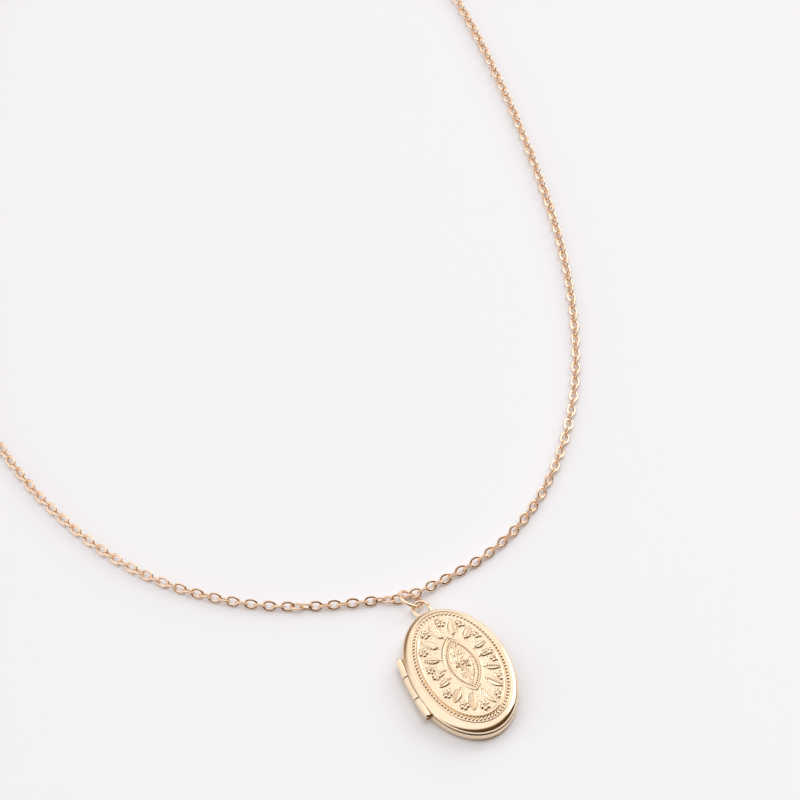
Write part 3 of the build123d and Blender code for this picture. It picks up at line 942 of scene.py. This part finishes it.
# Only the stretch outside the locket is kept, in order from one end to the other.
outside = np.sum((bail_path[:, :2] / (OUTLINE - SOLDER_IN)) ** 2, axis=1) > 1
start = int(np.argmax(outside & ~np.roll(outside, 1)))
order = [n for n in (np.arange(len(outside)) + start) % len(outside) if outside[n]]
path, out = bail_path[order], bail_out[order]
from_end = np.minimum(np.arange(len(path)), np.arange(len(path))[::-1])
thick = 1 + SOLDER_SWELL * np.exp(-from_end / 2.0)
section = wire_section(BAIL_WIRE, BAIL_WIRE, 2, 24)
round_wire = out[:, None] * section[None, :, :1] + np.array([0, 0, 1])[None, None] * section[None, :, 1:]
verts = path[:, None] + round_wire * thick[:, None, None]
faces = strip_faces(len(path), len(section))
faces.append(tuple(range(len(section)))[::-1])
faces.append(tuple((len(path) - 1) * len(section) + c for c in range(len(section))))
bail = make_piece("bail_wire", verts.reshape(-1, 3), faces, "back", locket_gold, sharp=60)
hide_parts("bail")


# ---------------------------------------------------------------- the rest of the CAD
slot_of = {part["node"]: part["material_slot"] for part in frame["record"]["subparts"]}
for name, node in nodes.items():
    if node.hide_render:
        continue
    for place in node.material_slots:
        place.material = MATERIAL_OF[slot_of[name]]


# ---------------------------------------------------------------- floor and light
floor_mesh = bpy.data.meshes.new("floor")
FLOOR_HALF = 3.0  # half the floor's side, in metres
floor_corners = [(sx * FLOOR_HALF, sy * FLOOR_HALF, 0) for sx, sy in ((-1, -1), (1, -1), (1, 1), (-1, 1))]
floor_mesh.from_pydata(floor_corners, [], [(0, 1, 2, 3)])
floor = bpy.data.objects.new("floor", floor_mesh)
scene.collection.objects.link(floor)
floor_paper, tree, shader, coords = new_material("floor_paper")
shader.inputs["Base Color"].default_value = (0.93, 0.935, 0.975, 1.0)
tree.links.new(spread(tree, noise(tree, coords, 60), 0.8, 0.9), shader.inputs["Roughness"])
bump(tree, [(noise(tree, coords, 900), 0.00003, 0.15)], shader)
shader.inputs["Specular IOR Level"].default_value = 0.2
floor_mesh.materials.append(floor_paper)


def soft_light(name, at, aim, size, power, colour):
    """A square area light, placed in metres."""
    data = bpy.data.lights.new(name, "AREA")
    data.shape = "RECTANGLE"
    data.size = size
    data.size_y = size
    data.energy = power
    data.color = colour
    lamp = bpy.data.objects.new(name, data)
    lamp.location = at
    lamp.rotation_mode = "QUATERNION"
    lamp.rotation_quaternion = (Vector(aim) - Vector(at)).to_track_quat("-Z", "Y")
    scene.collection.objects.link(lamp)
    return lamp


LIGHTS_AIM = (0, 0.05, 0)
soft_light("key", (1.35, 0.40, 0.95), LIGHTS_AIM, 1.1, 5.8, (1.0, 0.99, 0.985))
top_light = soft_light("top", (0.1, -0.2, 1.7), LIGHTS_AIM, 0.8, 5.0, (0.97, 0.985, 1.0))
top_light.visible_glossy = False

world = bpy.data.worlds.new("studio")
scene.world = world
world.use_nodes = True
tree = world.node_tree
background = next(n for n in tree.nodes if n.type == "BACKGROUND")
direction = tree.nodes.new("ShaderNodeTexCoord")


def sky_ramp(value, stops):
    """Colours for a value, from stops of (value, colour)."""
    ramp = tree.nodes.new("ShaderNodeValToRGB")
    elements = ramp.color_ramp.elements
    while len(elements) < len(stops):
        elements.new(0.5)
    for element, (position, colour) in zip(elements, stops):
        element.position = position
        element.color = (*colour, 1.0)
    tree.links.new(value, ramp.inputs[0])
    return ramp.outputs[0]


# A white room with two dark sides: a deep brown one low in front, and a tan one behind.
# Each shade goes by how far the direction leans along a vector, plus an offset.
DARK_SIDES = [
    (
        (0.20, -0.80, -0.45),
        0.5,
        [
            (0.22, (1, 1, 1)),
            (0.32, (0.82, 0.75, 0.68)),
            (0.42, (0.40, 0.30, 0.22)),
            (0.56, (0.08, 0.05, 0.03)),
        ],
    ),
    (
        (-0.25, 0.94, 0.23),
        0.0,
        [
            (0.69, (1, 1, 1)),
            (0.82, (0.90, 0.86, 0.82)),
            (0.90, (0.58, 0.50, 0.43)),
            (0.97, (0.25, 0.19, 0.15)),
        ],
    ),
]
sky = None
for lean, offset, stops in DARK_SIDES:
    facing = tree.nodes.new("ShaderNodeVectorMath")
    facing.operation = "DOT_PRODUCT"
    facing.inputs[1].default_value = lean
    tree.links.new(direction.outputs["Generated"], facing.inputs[0])
    level = tree.nodes.new("ShaderNodeMath")
    level.inputs[1].default_value = offset
    tree.links.new(facing.outputs["Value"], level.inputs[0])
    shade = sky_ramp(level.outputs[0], stops)
    if sky:
        both = tree.nodes.new("ShaderNodeMix")
        both.data_type = "RGBA"
        both.blend_type = "MULTIPLY"
        both.inputs[0].default_value = 1.0
        tree.links.new(sky, both.inputs[6])
        tree.links.new(shade, both.inputs[7])
        shade = both.outputs[2]
    sky = shade
tree.links.new(sky, background.inputs["Color"])
background.inputs["Strength"].default_value = 1.13

scene.view_settings.view_transform = "Standard"
scene.view_settings.look = "None"
